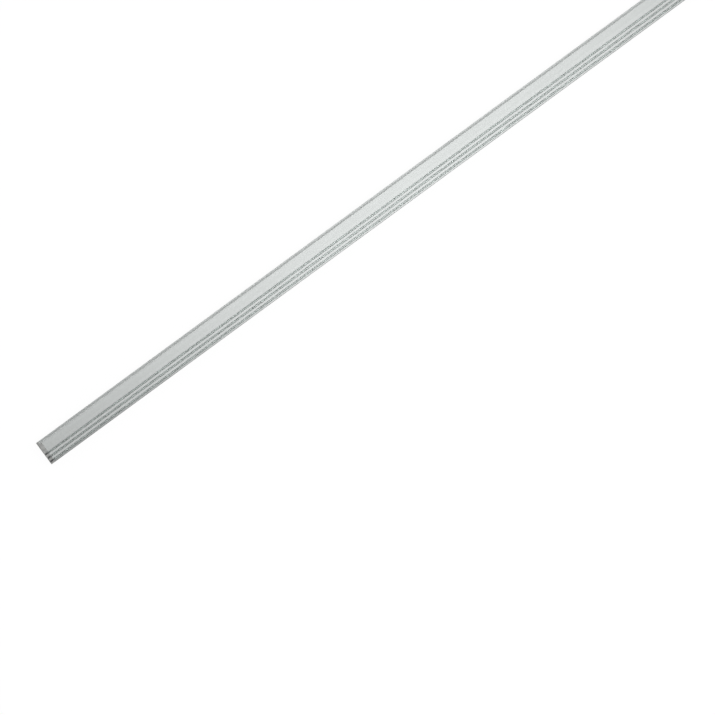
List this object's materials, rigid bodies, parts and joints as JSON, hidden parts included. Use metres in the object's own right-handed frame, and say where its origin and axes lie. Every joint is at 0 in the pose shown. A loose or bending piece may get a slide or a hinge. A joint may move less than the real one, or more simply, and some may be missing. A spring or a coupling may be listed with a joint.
{
  "type": "aluminium extrusion profile",
  "caption": "Flat extruded aluminium bar with a plain wide band, three narrow slots with ribs between them beside it, and a stepped edge.",
  "frame": {"origin": "centre of the flat back, halfway along the bar", "axes": "+X along the bar, +Y across it towards the stepped edge, +Z out of the slotted face"},
  "size_m": [1, 0.02, 0.008],
  "materials": {
    "anodised_aluminium": "satin anodised, with fine lines along the bar and plain sawn ends"
  },
  "bodies": {
    "root": {"profile_bar": "anodised_aluminium"}
  },
  "joints": []
}
